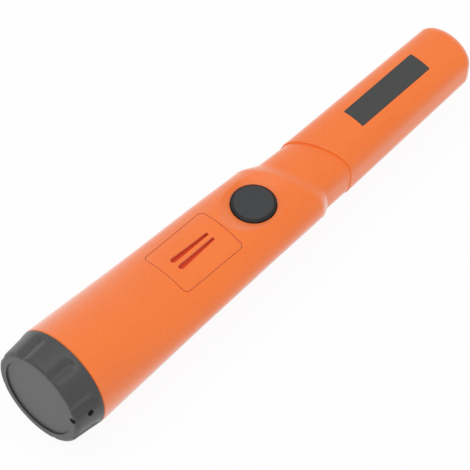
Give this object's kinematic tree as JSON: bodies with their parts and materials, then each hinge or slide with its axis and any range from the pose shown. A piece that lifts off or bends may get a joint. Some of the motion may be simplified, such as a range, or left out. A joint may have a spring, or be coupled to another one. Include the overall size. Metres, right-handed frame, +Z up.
{
  "type": "waterproof hand-held metal detector",
  "caption": "Hand-held waterproof metal detector: tapering orange handle with push button and sound slots, screw-on battery cap and a flat sealed search probe.",
  "frame": {"origin": "middle of the tool's overall box, on the axis of the round battery cap", "axes": "+X along the tool towards the probe's tip, +Y to the left, +Z up through the push button"},
  "size_m": [0.2392, 0.0452, 0.045],
  "materials": {
    "orange_plastic": "fine satin grain",
    "label_film": "satin",
    "cap_plastic": "fine grain",
    "disc_plastic": "satin",
    "button_rubber": "fine grain",
    "seal_rubber": "smooth",
    "membrane_film": "film",
    "foam": "closed cell",
    "battery_wrap": "printed wrap",
    "plated_steel": "plated",
    "contact_brass": "bright",
    "board_laminate": "solder mask",
    "frame_plastic": "moulded",
    "black_plastic": "moulded",
    "capacitor_can": "sleeved",
    "connector_plastic": "moulded",
    "wire_cover": "smooth",
    "ferrite": "sintered",
    "copper_wire": "enamelled"
  },
  "bodies": {
    "body": {"handle_shell": "orange_plastic", "probe_sleeve": "orange_plastic", "sound_panel": "orange_plastic", "probe_label": "label_film", "neck_seal": "seal_rubber", "button_boot": "seal_rubber", "sound_membrane": "membrane_film", "battery": "battery_wrap", "battery_terminals": "plated_steel", "board_screws": "plated_steel", "vibration_motor": "plated_steel", "battery_contacts": "contact_brass", "contact_board": "board_laminate", "main_board": "board_laminate", "inner_frame": "frame_plastic", "motor_saddle": "frame_plastic", "rear_rod_holder": "frame_plastic", "front_rod_holder": "frame_plastic", "coil_former": "frame_plastic", "sounder": "black_plastic", "microcontroller": "black_plastic", "driver_transistor": "black_plastic", "tact_switch": "black_plastic", "reservoir_capacitor": "capacitor_can", "coil_connector": "connector_plastic", "battery_leads": "wire_cover", "coil_cable": "wire_cover", "ferrite_rod": "ferrite", "search_coil": "copper_wire"},
    "pad": {"battery_pad": "foam"},
    "cap": {"battery_cap": "cap_plastic", "cap_disc": "disc_plastic", "cap_seal": "seal_rubber"},
    "button": {"push_button": "button_rubber"},
    "stem": {"switch_stem": "black_plastic"},
    "rotor": {"motor_shaft": "plated_steel", "eccentric_weight": "contact_brass"}
  },
  "joints": [
    {"name": "cap_travel", "type": "slide", "parent": "body", "child": "pad", "axis": [-1, 0, 0], "range_m": [0, 0.009]},
    {"name": "cap_turn", "type": "hinge", "parent": "pad", "child": "cap", "pos_m": [-0.1196, 0, 0], "axis": [-1, 0, 0], "range_deg": [0, 1080]},
    {"name": "button_press", "type": "slide", "parent": "body", "child": "button", "axis": [0, 0, -1], "range_m": [0, 0.0008], "stiffness_N_per_m": 1500},
    {"name": "switch_press", "type": "slide", "parent": "body", "child": "stem", "axis": [0, 0, -1], "range_m": [0, 0.0008]},
    {"name": "motor_spin", "type": "hinge", "parent": "body", "child": "rotor", "pos_m": [-0.0086, 0, -0.006], "axis": [1, 0, 0], "continuous": true}
  ],
  "couplings": [
    {"joint": "cap_turn", "follows": "cap_travel", "rad_per_m": 2094.4},
    {"joint": "switch_press", "follows": "button_press", "ratio": 1}
  ]
}
